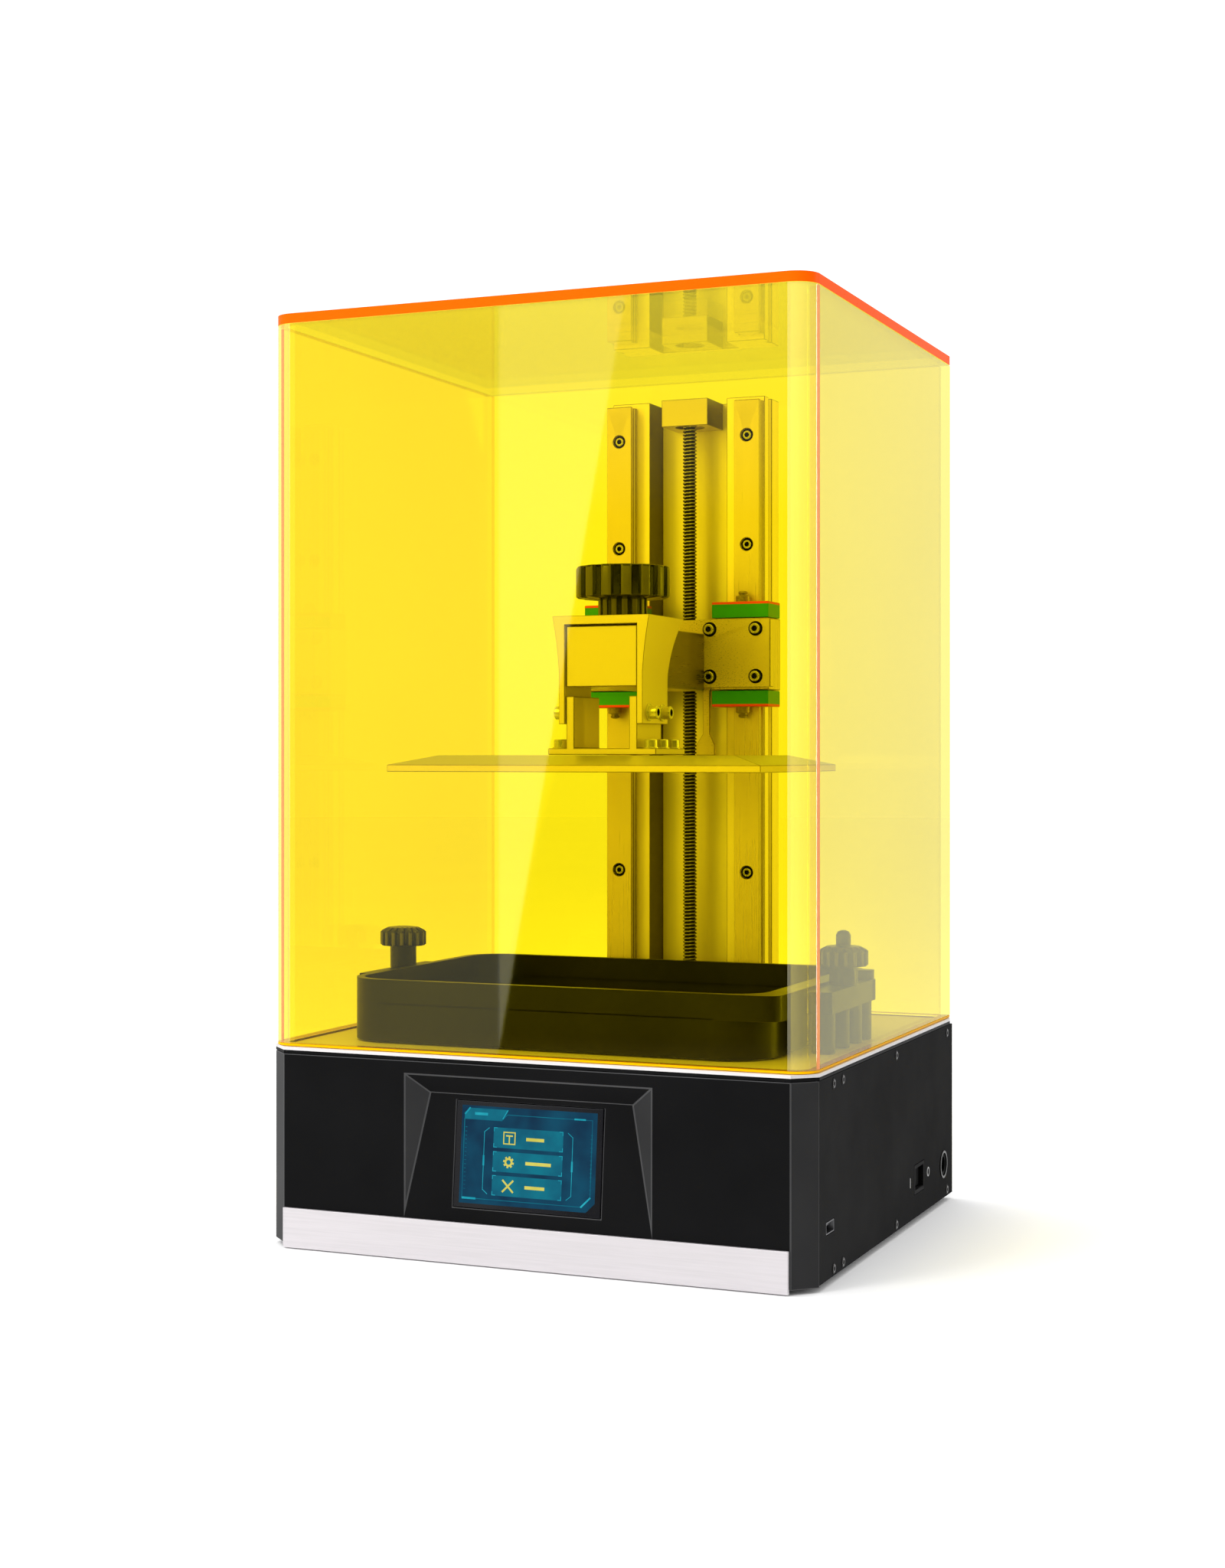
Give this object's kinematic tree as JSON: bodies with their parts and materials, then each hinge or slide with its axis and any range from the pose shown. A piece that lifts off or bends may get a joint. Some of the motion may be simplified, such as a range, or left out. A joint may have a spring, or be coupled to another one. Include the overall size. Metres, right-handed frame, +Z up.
{
  "type": "resin printer",
  "caption": "Desktop resin printer with a transparent lift-off cover, a twin-rail lift carriage over a removable resin vat, and a tilted touch screen in its base.",
  "frame": {"origin": "middle of the footprint, on the surface the printer stands on", "axes": "+Z up along the lift axis, front towards -Y, right side towards +X"},
  "size_m": [0.29, 0.27, 0.475],
  "materials": {
    "housing_black": "satin black powder coat",
    "deck_aluminium": "fine bead-blasted anodised",
    "brushed_trim": "brushed along its length",
    "rubber_foot": "matt",
    "screen_glass": "polished dark glass",
    "display_metal": "matt",
    "black_plastic": "moulded, satin",
    "clear_film": "clear film",
    "circuit_board": "solder mask",
    "bare_aluminium": "machined and anodised clear",
    "bright_steel": "ground",
    "dark_steel": "oiled dark steel",
    "brass_nut": "turned",
    "green_cap": "moulded",
    "black_anodised": "black anodised",
    "yellow_acrylic": "polished transparent acrylic"
  },
  "bodies": {
    "base": {"base_pan": "housing_black", "front_frame": "housing_black", "side_panel_left": "housing_black", "side_panel_right": "housing_black", "rear_panel": "housing_black", "top_plate": "deck_aluminium", "front_strip": "brushed_trim", "foot_front_left": "rubber_foot", "foot_rear_left": "rubber_foot", "foot_front_right": "rubber_foot", "foot_rear_right": "rubber_foot", "touch_glass": "screen_glass", "touch_display": "display_metal", "masking_screen": "screen_glass", "light_box": "black_plastic", "light_lens": "clear_film", "led_board": "circuit_board", "heat_sink": "bare_aluminium", "fan_frame": "black_plastic", "main_board": "circuit_board", "switch_housing": "black_plastic", "dc_jack": "black_plastic", "usb_port": "bright_steel", "z_column": "bare_aluminium", "rail_left": "bright_steel", "rail_right": "bright_steel", "top_bearing_block": "bare_aluminium", "top_bearing": "bright_steel", "stepper_motor": "dark_steel", "limit_sensor": "black_plastic", "vat_frame": "black_anodised", "film_ring": "bright_steel", "vat_film": "clear_film"},
    "carriage": {"rail_block_left": "bright_steel", "end_cap_upper_left": "green_cap", "end_cap_lower_left": "green_cap", "rail_block_right": "bright_steel", "end_cap_upper_right": "green_cap", "end_cap_lower_right": "green_cap", "carriage_plate": "bare_aluminium", "lift_arm": "bare_aluminium", "nut_bracket": "bare_aluminium", "lead_nut": "brass_nut", "sensor_flag": "housing_black", "platform_yoke": "bare_aluminium", "foot_bracket": "bare_aluminium", "build_plate": "bare_aluminium"},
    "screw": {"lead_screw": "dark_steel", "coupler": "bare_aluminium", "motor_shaft": "bright_steel"},
    "clamp_knob": {"clamp_knob": "black_plastic"},
    "vat_knob_left": {"vat_knob_left": "black_plastic"},
    "vat_knob_right": {"vat_knob_right": "black_plastic"},
    "power_rocker": {"power_rocker": "black_plastic"},
    "fan_rotor": {"fan_rotor": "black_plastic"},
    "cover": {"cover_front": "yellow_acrylic", "cover_side_left": "yellow_acrylic", "cover_side_right": "yellow_acrylic", "cover_rear": "yellow_acrylic", "cover_top": "yellow_acrylic"}
  },
  "joints": [
    {"name": "z_lift", "type": "slide", "parent": "base", "child": "carriage", "axis": [0, 0, 1], "range_m": [-0.1383, 0.1067]},
    {"name": "lead_screw_spin", "type": "hinge", "parent": "base", "child": "screw", "pos_m": [0, 0.101, 0.2], "axis": [0, 0, 1], "range_deg": [-6300, 4900]},
    {"name": "clamp_knob_turn", "type": "hinge", "parent": "carriage", "child": "clamp_knob", "pos_m": [0, -0.004, 0.34], "axis": [0, 0, 1], "range_deg": [0, 1440]},
    {"name": "vat_knob_left_turn", "type": "hinge", "parent": "base", "child": "vat_knob_left", "pos_m": [-0.1255, -0.016, 0.14], "axis": [0, 0, 1], "range_deg": [0, 2160]},
    {"name": "vat_knob_right_turn", "type": "hinge", "parent": "base", "child": "vat_knob_right", "pos_m": [0.1255, -0.016, 0.14], "axis": [0, 0, 1], "range_deg": [0, 2160]},
    {"name": "power_switch", "type": "hinge", "parent": "base", "child": "power_rocker", "pos_m": [0.1395, 0.0615, 0.0237], "axis": [0, 0, 1], "range_deg": [0, 10]},
    {"name": "fan_spin", "type": "hinge", "parent": "base", "child": "fan_rotor", "pos_m": [-0.075, 0.125, 0.05], "axis": [0, 1, 0], "continuous": true},
    {"name": "cover_lift", "type": "slide", "parent": "base", "child": "cover", "axis": [0, 0, 1], "range_m": [0, 0.4]}
  ],
  "couplings": [
    {"joint": "lead_screw_spin", "follows": "z_lift", "rad_per_m": 785.4}
  ]
}
